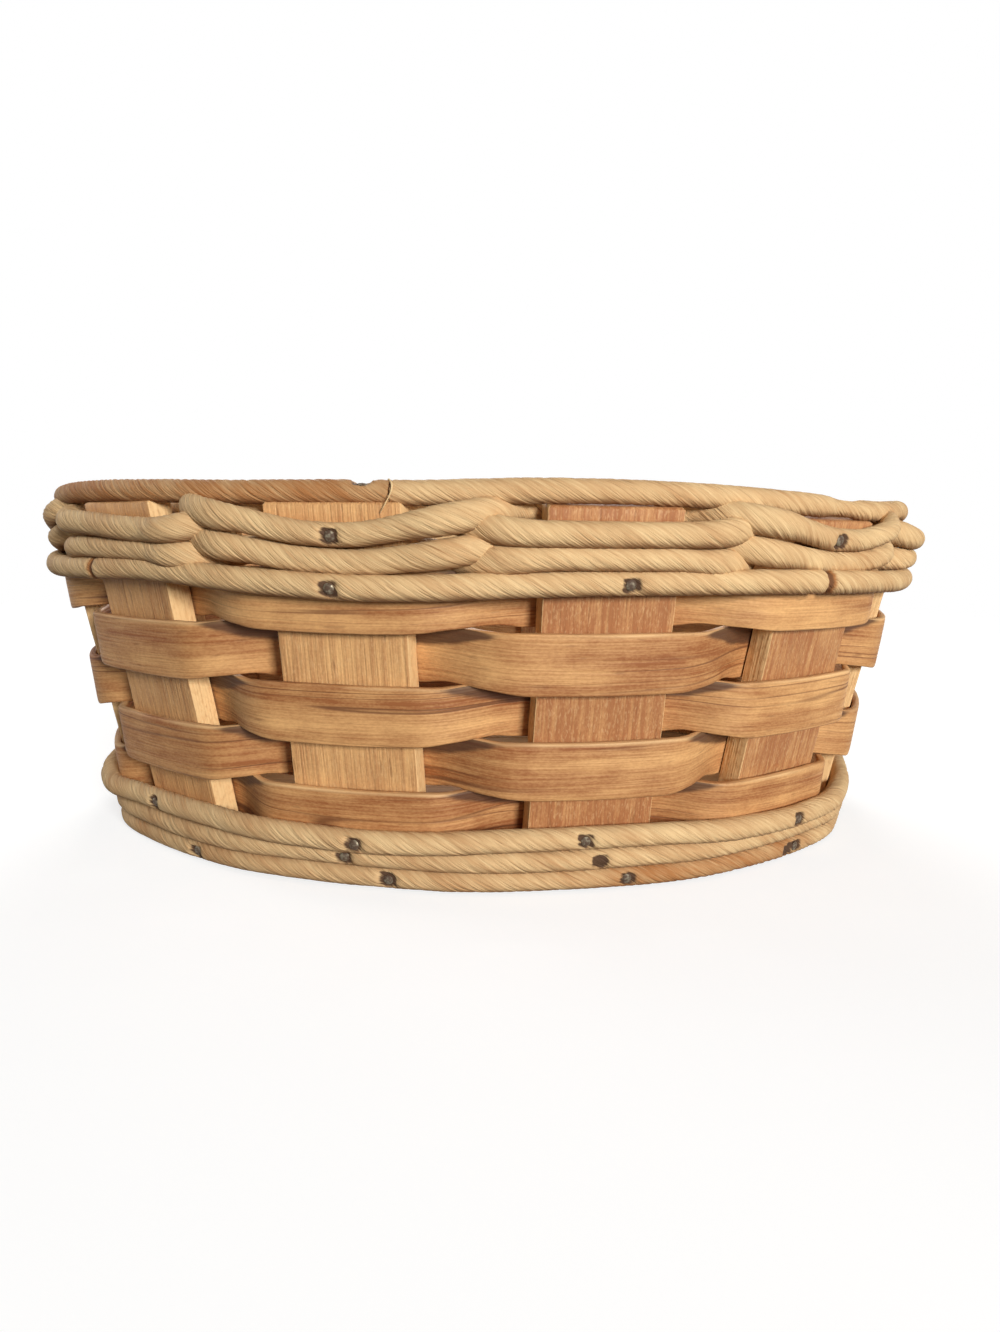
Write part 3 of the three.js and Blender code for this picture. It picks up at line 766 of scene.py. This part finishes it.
def make_rope(node, laid, radius, seed, nails=(), nail_set="", nail_length=0.0, tacks=(), buried=(),
              stains=(), from_above=False, half_high_at=None, pieced_at=(), thin_at=(),
              tone_at=lambda share: 0.0):
    """Twist a rope along a path, with a pit at each nail that shows: stained, with painted shade in it."""
    def nearest(places):
        return [min(laid, key=lambda here: (here.point - place).length).point.freeze() for place in places]

    heads = {place: (nail_set, nail_length) for place in nearest([*nails, *buried])}
    heads.update({place: ("tack", TACK_LENGTH) for place in nearest(tacks)})
    pits, seams = nearest([*nails, *tacks, *stains]), nearest(pieced_at)
    stations = []
    for index, (here, (distance, off, rise)) in enumerate(zip(laid, section_ways(laid))):
        seam = closeness(here.point, seams, SEAM_WIDTH)
        fullness = (1 + waver(seed, distance, *ROPE_SWELL)) * (1 - SEAM_DEPTH * seam)
        fullness *= 1 - THIN_DEPTH * closeness(here.point, thin_at, THIN_WIDTH)
        half_out = radius * fullness
        half_high = half_high_at(here.crossing) * fullness if half_high_at else half_out
        point = here.point + off * waver(seed + 7, distance, *ROPE_STRAY_OUT)
        point += rise * waver(seed + 13, distance, *ROPE_STRAY_UP)
        if from_above:
            off, rise = rise, -off
        for head, (kind, length) in heads.items():
            if head == here.point:
                sunk = point + off * (half_out - NAIL_PIT_DEPTH)
                nail_places.setdefault(kind, []).append(Nail(sunk, off, length))
        dent = closeness(here.point, pits, NAIL_PIT_WIDTH)
        tone = tone_at(index / len(laid)) + SEAM_TONE * seam
        stations.append(Station(point, off, rise, half_out, half_high, dent, tone))
    rope = sweep_piece(
        node.replace("rope", "cord"), stations, finish=rope_fibre, **ROPE_SECTION,
        grain_start=ROPE_GRAIN_SHIFT * seed)
    fit_piece(rope, "rope", node)


def rope_offset(bare_offset, row=None, pulls=None):
    """How far off a rope lies at each stake, also where it goes out over the strips of a row."""
    def offset(stake):
        lift = STRIP_LIFT if row and is_outside(row, stake) else 0
        return bare_offset + lift - (pulls or {}).get(stake % STAKE_COUNT, 0) * MM
    return offset


def at_places(places, course):
    """Places on a rope, by stake and millimetres along it."""
    return [on_wall(stake, along * MM, course.level, course.offset_at(stake)) for stake, along in places]


def foot_tone(share):
    start, end = OLD_STRETCH
    return FOOT_TONE + OLD_TONE * (smooth((share - start) / OLD_EDGE) - smooth((share - end) / OLD_EDGE))


all_stakes = range(STAKE_COUNT)
hemmed = [stake for stake in all_stakes if is_outside(WEAVER_ROWS, stake)]
lower = Course(wall_level("foot_rope_lower", FOOT_ROPE_OFFSET), rope_offset(FOOT_ROPE_OFFSET))
middle = Course(wall_level("foot_rope_middle", FOOT_ROPE_OFFSET), lower.offset_at)
upper = Course(
    middle.level + FOOT_ROPE_RADIUS + HEM_ROPE_RADIUS, rope_offset(FOOT_ROPE_OFFSET, WEAVER_ROWS))

make_rope(
    "foot_rope_lower", nailed_path(lower, BACK_STAKE, -BESIDE_NAIL), FOOT_ROPE_RADIUS, 1,
    at_places([(stake, FOOT_NAIL_SHIFT) for stake in all_stakes], lower), "foot_nail", FOOT_NAIL_LENGTH,
    stains=at_places(LOWER_STAINS, lower), tone_at=foot_tone)
make_rope(
    "foot_rope_middle", nailed_path(middle, BACK_STAKE, BESIDE_NAIL), FOOT_ROPE_RADIUS, 2,
    tacks=at_places(MIDDLE_TACKS, middle), stains=at_places(MIDDLE_STAINS, middle),
    tone_at=lambda share: FOOT_TONE / 2)
make_rope(
    "foot_rope_upper", nailed_path(upper, BACK_STAKE, BESIDE_NAIL), HEM_ROPE_RADIUS, 3,
    at_places([(stake, NAIL_SHIFT) for stake in hemmed], upper), "hem_nail", HEM_NAIL_LENGTH,
    tacks=at_places(UPPER_TACKS, upper))


# Band rope
# One turn of rope under the woven ones. It is nailed at every stake, over the top strip where that passes
# outside, and was pieced from more than one length.
BAND_ROPE_RADIUS = 3.55 * MM
BAND_ROPE_OFFSET = 7.35 * MM
BAND_NAIL_LENGTH = 11 * MM
BAND_SEAMS = ((10, -8.5), (1, -11.5))  # stake, millimetres along it
BAND_BURIED = (10, 1)  # stakes where the rope has closed over the nail
ROPE_PULLS = {8: 1.5, 9: 2.0}  # millimetres that the ropes were pulled in at the left end
BAND_LIFTS = {  # millimetres off its level at the left and right edges of a stake
    0: (0.0, 0.8), 1: (1.5, 0.6), 2: (-0.3, 0.2), 4: (0.5, -0.3), 7: (-0.6, 0.4), 9: (3.0, 1.6),
    10: (1.3, 2.2), 11: (0.7, -0.6)}

band = Course(
    wall_level("band_rope", BAND_ROPE_OFFSET + STRIP_LIFT / 2),
    rope_offset(BAND_ROPE_OFFSET, 1, ROPE_PULLS))


def band_lifts(stake):
    return BAND_LIFTS.get(stake, (0.0, 0.0))


def at_band(stakes):
    """The band's nails at these stakes."""
    places = []
    for stake in stakes:
        lifted = band._replace(level=band.level + sum(band_lifts(stake)) / 2 * MM)
        places += at_places([(stake, NAIL_SHIFT)], lifted)
    return places


make_rope(
    "band_rope", nailed_path(band, BACK_STAKE, -BESIDE_NAIL, band_lifts), BAND_ROPE_RADIUS, 4,
    at_band(stake for stake in all_stakes if stake not in BAND_BURIED), "band_nail", BAND_NAIL_LENGTH,
    buried=at_band(BAND_BURIED), pieced_at=at_places(BAND_SEAMS, band))


# Woven ropes
# Four ropes in two courses, each over every second stake. The two of a course cross between the stakes: the
# one that is nailed passes above and in front of the other.
WOVEN_ROPES = 4
WOVEN_RADII = (3.45, 3.65, 3.6, 3.3)  # millimetres
WOVEN_PITCH = 6.9 * MM
WOVEN_SEED = 10
STAKE_TIP = 3 * MM  # bare stake above the upper course
CROSSING_HALF_HEIGHT = 4.1 * MM  # they are pressed flat where they cross
CROSSING_SHIFTS = (5.0, 2.6, 5.0, 2.8)  # millimetres that each rope keeps outside at a crossing,
TIGHT_FROM, TIGHT_TO = 105 * MM, 122 * MM  # but for the ends of the oval, where the bend pulls it in
TIGHT_PULL = 1.5 * MM
SHIFT_FROM = 0.55  # the share of the way to a crossing at which that starts
INSIDE_LIFTS = (0.4, 1.8, 0.0, -0.8)  # millimetres that each rope rises where it passes inside a stake
UPPER_LIFTS = {  # millimetres off the course where a rope passes outside, as for the band
    0: (-0.5, -0.4), 1: (-0.9, -1.2), 3: (-0.6, -1.0), 5: (-1.2, -0.8), 7: (-1.5, -0.7), 9: (0.8, 0.8),
    10: (1.9, -0.6), 11: (-0.3, -1.9)}
LOWER_LIFTS = {
    1: (-0.9, -1.0), 3: (-0.5, -0.9), 5: (-0.9, -0.6), 7: (-1.2, -0.6), 9: (1.6, 1.6), 10: (1.2, 0.5),
    11: (-0.6, -2.4)}
LATE_TURNS = {10: 5.0}  # millimetres further that the ropes keep straight beyond a stake
WOVEN_BOW = 0.06
WOVEN_FLAT = (0.08, 0.5, 0.1, 0.35)  # share of the way to a crossing in which each rope keeps its course
WOVEN_TACKS = ((11, 3.2), (1, -6.2), (3, 2.0), (5, -3.0), (7, 4.0), (9, -1.0))  # stake, millimetres along
UPPER_COURSE = stake_top - STAKE_TIP - WOVEN_PITCH / 2
LOWER_COURSE = UPPER_COURSE - WOVEN_PITCH
WOVEN_START = LOWER_COURSE - WOVEN_PITCH / 2

woven_offset = rope_offset(BAND_ROPE_OFFSET, pulls=ROPE_PULLS)


def way_to_crossing(point, level):
    """0 at the middle of a stake, 1 half way to the next one."""
    stake = min(all_stakes, key=lambda index: (on_wall(index, 0, level, 0) - point).length)
    aside = (point - wall[stake].foot).dot(wall[stake].along)
    following = on_wall(stake + (1 if aside > 0 else -1), 0, level, 0)
    return min(2 * abs(aside) / (following - on_wall(stake, 0, level, 0)).length, 1.0)


def woven_path(index):
    """In and out of the stakes, with the crossings at the rope's own height."""
    first = BACK_STAKE + (1 if is_outside(index + 1, BACK_STAKE) else 0)
    level, course_lifts = (UPPER_COURSE, UPPER_LIFTS) if index < 2 else (LOWER_COURSE, LOWER_LIFTS)
    knots = []
    for turn in range(STAKE_COUNT + 1):
        stake = (first + turn) % STAKE_COUNT
        here = wall[stake]
        side = 1 if is_outside(index + 1, stake) else -1
        start = BUTT_GAP / 2 if turn == 0 else -STRAIGHT_REACH
        end = -BUTT_GAP / 2 if turn == STAKE_COUNT else STRAIGHT_REACH + LATE_TURNS.get(stake, 0) * MM
        lifts = course_lifts.get(stake, (0.0, 0.0)) if side > 0 else (INSIDE_LIFTS[index],) * 2
        for along, way, lift in ((start, -1, lifts[0]), (end, 1, lifts[1])):
            run = here.along - here.off * (side * way * WOVEN_BOW)
            place = on_wall(stake, along, level + lift * MM, side * woven_offset(stake))
            knots.append(Knot(place, run.normalized(), here.up))
    crossing_pitch = (stake_top - WOVEN_START) / WOVEN_ROPES
    rise = WOVEN_START + (WOVEN_ROPES - 0.5 - index) * crossing_pitch - level
    shift = CROSSING_SHIFTS[index] * MM
    flat = WOVEN_FLAT[index]
    laid = lay_round(knots, ROPE_STEP)
    lifted = []
    for here, (distance, off, up) in zip(laid, section_ways(laid)):
        way = way_to_crossing(here.point, level)
        up_there = here.up * (rise * smooth((way - flat) / (1 - flat)))
        slack = 1 - smooth((abs(here.point.x) - TIGHT_FROM) / (TIGHT_TO - TIGHT_FROM))
        aside = shift * slack - TIGHT_PULL * (1 - slack)
        aside *= smooth((way - SHIFT_FROM) / (1 - SHIFT_FROM))
        lifted.append(here._replace(point=here.point + up_there + off * aside))
    return lifted


for index in range(WOVEN_ROPES):
    tacks = at_places(WOVEN_TACKS, Course(UPPER_COURSE, woven_offset)) if index == 0 else []
    radius = WOVEN_RADII[index] * MM
    make_rope(
        f"woven_rope_{index + 1}", woven_path(index), radius, WOVEN_SEED + index, tacks=tacks,
        half_high_at=lambda crossing: radius + (CROSSING_HALF_HEIGHT - radius) * crossing)


# Rim rope
# The rope that covers the ends of the stakes, nailed down into three of them. Its ends butt over the stake
# left of the middle, where a loose fibre curls over the joint. The stretch before the joint is browner.
RIM_RADIUS = 3.4 * MM
RIM_SEED = 20
RIM_SINK = 0.6  # millimetres that it lies lower than drawn
RIM_LIFTS = {  # millimetres off the ends of the stakes
    0: (0.4, 0.0), 1: (0.9, -0.3), 2: (0.3, 0.0), 10: (0.0, -0.6), 11: (-0.8, -0.9)}
RIM_TACKS = ((11, 10.3), (5, -6.0))  # stake, millimetres along it
RIM_THIN = ((1, 5.0), (6, 3.0))
RIM_NAILS = ((11, 0), (3, 0), (7, 0))
RIM_NAIL_LENGTH = 20 * MM
RIM_JOINT_STAKE = 11
RIM_JOINT = STAKE_WIDTH / 2 - BUTT_GAP
RIM_TONE = 0.07
RIM_BROWN_TONE = 0.41
RIM_BROWN_SHARE = 0.2  # of its length
RIM_BROWN_EDGE = 0.03
FIBRE_RADIUS = 0.32 * MM
FIBRE_TAPER = 0.6
FIBRE_STEPS = 24
FIBRE_SECTION = {"sides": 8, "squareness": 2.0}
FIBRE_TONE = -0.3
FIBRE_START, FIBRE_END = -0.6 * MM, -2.5 * MM  # along the rope from its joint
FIBRE_CURL = 2.6 * MM
FIBRE_TURN = (80, -50)  # degrees round the rope, from above to the front
FIBRE_HANG = 2.7 * MM  # how far its end stands off the rope

rim = Course(wall_level("rim_rope"), rope_offset(0.0))


def rim_lifts(stake):
    return [lift - STAKE_CUTS[stake] - RIM_SINK for lift in RIM_LIFTS.get(stake, (0.0, 0.0))]


def rim_tone(share):
    return RIM_TONE + RIM_BROWN_TONE * smooth((share - 1 + RIM_BROWN_SHARE) / RIM_BROWN_EDGE)


make_rope(
    "rim_rope", nailed_path(rim, RIM_JOINT_STAKE, RIM_JOINT, rim_lifts), RIM_RADIUS, RIM_SEED,
    nail_set="rim_nail", nail_length=RIM_NAIL_LENGTH, buried=at_places(RIM_NAILS, rim),
    tacks=at_places(RIM_TACKS, rim), thin_at=at_places(RIM_THIN, rim), from_above=True, tone_at=rim_tone)


def fibre_stations():
    """From the top of the rim rope, over its joint, to a free end in front of the stake."""
    here = wall[RIM_JOINT_STAKE]
    level = rim.level + rim_lifts(RIM_JOINT_STAKE)[1] * MM
    middle = on_wall(RIM_JOINT_STAKE, RIM_JOINT, level, 0)
    laid = []
    for step in range(FIBRE_STEPS + 1):
        share = step / FIBRE_STEPS
        turn = math.radians(FIBRE_TURN[0] + (FIBRE_TURN[1] - FIBRE_TURN[0]) * share)
        reach = RIM_RADIUS + FIBRE_RADIUS / 2 + FIBRE_HANG * share ** 2
        round_rope = here.off * math.cos(turn) + here.up * math.sin(turn)
        along = FIBRE_START + (FIBRE_END - FIBRE_START) * share + FIBRE_CURL * math.sin(math.pi * share)
        laid.append(Laid(middle + here.along * along + round_rope * reach, round_rope, 0))
    stations = []
    for step, (here, (distance, off, rise)) in enumerate(zip(laid, section_ways(laid))):
        radius = FIBRE_RADIUS * (1 - FIBRE_TAPER * step / FIBRE_STEPS)
        stations.append(Station(here.point, off, rise, radius, radius, 0.0, FIBRE_TONE))
    return stations


fit_piece(sweep_piece("loose_fibre", fibre_stations(), finish=rope_fibre, **FIBRE_SECTION), "rope")


# Nails
# Plain wire nails, gone dark: through the lower foot rope into the base, through the hem and the band into
# the stakes, down through the rim into three stakes, and short tacks elsewhere. Each head has sunk in.
NAIL_SIZES = {
    "head_radius": 1.6 * MM, "head_height": 0.6 * MM, "shank_radius": 0.8 * MM, "tilt": 0.16, "seed": 5}
NAIL_SHARP_ANGLE = math.radians(40)


# A nail at each place: a domed head, and a shank that tapers to its point.
nodes, given = make_group(
    "Nails in their places", "GeometryNodeTree",
    {"Geometry": ["Places"], "Float": ["Head radius", "Head height", "Shank radius", "Tilt"],
     "Int": ["Seed"], "Material": ["Finish"]},
    {"Geometry": ["Nails"]})
dome = nodes.get("GeometryNodeMeshUVSphere", {"Segments": 12, "Rings": 6, "Radius": 1.0})
head_size = nodes.vector(given["Head radius"], given["Head radius"], given["Head height"])
head = nodes.get("GeometryNodeTransform", {"Geometry": dome, "Scale": head_size})
cone = nodes.get("GeometryNodeMeshCone", {
    "Vertices": 8, "Radius Top": nodes.times(given["Shank radius"], 0.2),
    "Radius Bottom": given["Shank radius"], "Depth": 1.0})
shank = nodes.get("GeometryNodeTransform", {"Geometry": cone, "Rotation": (math.pi, 0.0, 0.0)})
aside = nodes.get("FunctionNodeRandomValue", {
    "Min": (-1.0, -1.0, -1.0), "Max": (1.0, 1.0, 1.0), "Seed": given["Seed"]}, data_type="FLOAT_VECTOR")
tilted = nodes.vectors("ADD", nodes.read("axis", "FLOAT_VECTOR"), nodes.scaled(aside, given["Tilt"]))
turned = nodes.get("FunctionNodeAlignRotationToVector", {"Vector": tilted}, axis="Z")
heads = nodes.get("GeometryNodeInstanceOnPoints", {
    "Points": given["Places"], "Instance": head, "Rotation": turned})
shanks = nodes.get("GeometryNodeInstanceOnPoints", {
    "Points": given["Places"], "Instance": shank, "Rotation": turned,
    "Scale": nodes.vector(1.0, 1.0, nodes.read("length"))})
joined = nodes.add("GeometryNodeJoinGeometry")
for part in (heads, shanks):
    nodes.tree.links.new(part, joined.inputs["Geometry"])
end_tree(nodes, joined.outputs["Geometry"], given["Finish"], "Nails")
nail_tree = nodes.tree

# Old wire: dark scale with rust in patches, worn bright here and there.
nail_steel, nodes = start_material("nail_steel")
scale = nodes.noise(nodes.add("ShaderNodeTexCoord").outputs["Object"], 900.0, 3.0)
rust = nodes.ease(scale, 0.36, 0.58)
colour = nodes.blend(rust, srgb(128, 118, 98), srgb(78, 58, 42))
end_material(
    nodes, colour, nodes.times(rust, 0.3, 0.48), scale, 0.3, 0.1 * MM, specular=0.5,
    metallic=nodes.times(rust, -0.7, 0.7))

for nail_set, nails in nail_places.items():
    places = bpy.data.meshes.new(nail_set + ".places")
    places.from_pydata([nail.head for nail in nails], [], [])
    give_attributes(places, nails, ["axis"], ["length"])
    driven = add_object(nail_set + "s", places)
    shade(apply_nodes(driven, nail_tree, {**NAIL_SIZES, "finish": nail_steel}), NAIL_SHARP_ANGLE)
    solids = [node for node in sorted(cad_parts) if node.startswith(nail_set + "_")]
    fit_piece(driven, "nail_steel", *solids)


# Floor, light and camera
# A pale studio floor that fades into white, a lamp in front and to the right, softer ones behind and at
# the left, and a weak even light from all round. The camera stands where the photographer stood.
FLOOR_RADIUS = 1.6
FLOOR_CORNERS = 96
FLOOR_CLEAR_FROM, FLOOR_CLEAR_TO = 0.45, 1.25  # where the floor starts to fade, and where it has gone
FLOOR_SEEN = srgb(182, 182, 181)
FLOOR_BOUNCE = srgb(105, 103, 100)  # what it sends back to the basket
FLOOR_GLOW = 0.70  # with its own colour in the light, this makes white
SKY_STRENGTH = 0.13
WHITE = (1.0, 1.0, 1.0, 1.0)
LAMPS = (  # place, size in metres and power in watts
    ("key_light", Vector((0.73, -1.52, 0.44)), 0.4, 31.6),
    ("back_light", Vector((-0.1, 1.5, 0.9)), 0.9, 19.0),
    ("left_light", Vector((-1.55, 0.6, 0.7)), 0.7, 9.0))
CAMERA_PLACE = Vector((10.5, -361.0, 104.4)) * MM
CAMERA_YAW = 0.54  # degrees to the left
CAMERA_PITCH = 8.12  # degrees down
CAMERA_ROLL = 0.69  # degrees, with the right side of the picture lower
CAMERA_CLIP = 0.01
PHOTO_HEIGHT = 1332  # pixels
FOCAL_LENGTH = 892.7  # pixels


def background_seen(nodes):
    """Whether the background is looked at, also in a mirror or through glass."""
    rays = nodes.add("ShaderNodeLightPath").outputs
    seen = nodes.math("MAXIMUM", rays["Is Camera Ray"], rays["Is Glossy Ray"])
    return nodes.math("MAXIMUM", seen, rays["Is Transmission Ray"])


def mix_shaders(nodes, share, first, second):
    return nodes.get("ShaderNodeMixShader", {0: share, 1: first, 2: second})


floor_mesh = bpy.data.meshes.new("floor")
floor_outline = bmesh.new()
bmesh.ops.create_circle(floor_outline, cap_ends=True, segments=FLOOR_CORNERS, radius=FLOOR_RADIUS)
floor_outline.to_mesh(floor_mesh)
floor_paint, nodes = start_material("studio_floor")
place = nodes.add("ShaderNodeTexCoord").outputs["Object"]
from_middle = nodes.add("ShaderNodeVectorMath", {0: place}, operation="LENGTH").outputs["Value"]
glow = nodes.get("ShaderNodeEmission", {"Color": WHITE, "Strength": FLOOR_GLOW})
shaded = nodes.get("ShaderNodeBsdfDiffuse", {"Color": FLOOR_SEEN})
bounce = nodes.get("ShaderNodeBsdfDiffuse", {"Color": FLOOR_BOUNCE})
clear = nodes.get("ShaderNodeBsdfTransparent")
floor_look = nodes.get("ShaderNodeAddShader", {0: shaded, 1: glow})
floor_look = mix_shaders(nodes, background_seen(nodes), bounce, floor_look)
faded = nodes.ease(from_middle, FLOOR_CLEAR_FROM, FLOOR_CLEAR_TO)
nodes.add("ShaderNodeOutputMaterial", {"Surface": mix_shaders(nodes, faded, floor_look, clear)})
floor_mesh.materials.append(floor_paint)
add_object("floor", floor_mesh)

studio = bpy.data.worlds.new("studio")
studio.use_nodes = True
studio.node_tree.nodes.clear()
nodes = Nodes(studio.node_tree)
sky = nodes.get("ShaderNodeBackground", {"Color": WHITE, "Strength": SKY_STRENGTH})
white = nodes.get("ShaderNodeBackground", {"Color": WHITE, "Strength": 1.0})
nodes.add("ShaderNodeOutputWorld", {"Surface": mix_shaders(nodes, background_seen(nodes), sky, white)})
bpy.context.scene.world = studio
bpy.context.scene.view_settings.view_transform = "Standard"

for name, place, size, power in LAMPS:
    light = bpy.data.lights.new(name, "AREA")
    light.size = size
    light.energy = power
    lamp = add_object(name, light)
    lamp.location = place
    lamp.rotation_euler = (-place).to_track_quat("-Z", "Y").to_euler()

camera_data = bpy.data.cameras.new("camera")
camera_data.lens = FOCAL_LENGTH * camera_data.sensor_width / PHOTO_HEIGHT
camera_data.clip_start = CAMERA_CLIP
camera = add_object("camera", camera_data)
turn_down = Matrix.Rotation(math.radians(90 - CAMERA_PITCH), 4, "X")
turn_aside = Matrix.Rotation(math.radians(CAMERA_YAW), 4, "Z")
roll = Matrix.Rotation(math.radians(CAMERA_ROLL), 4, "Z")
camera.matrix_world = Matrix.Translation(CAMERA_PLACE) @ turn_aside @ turn_down @ roll
bpy.context.scene.camera = camera
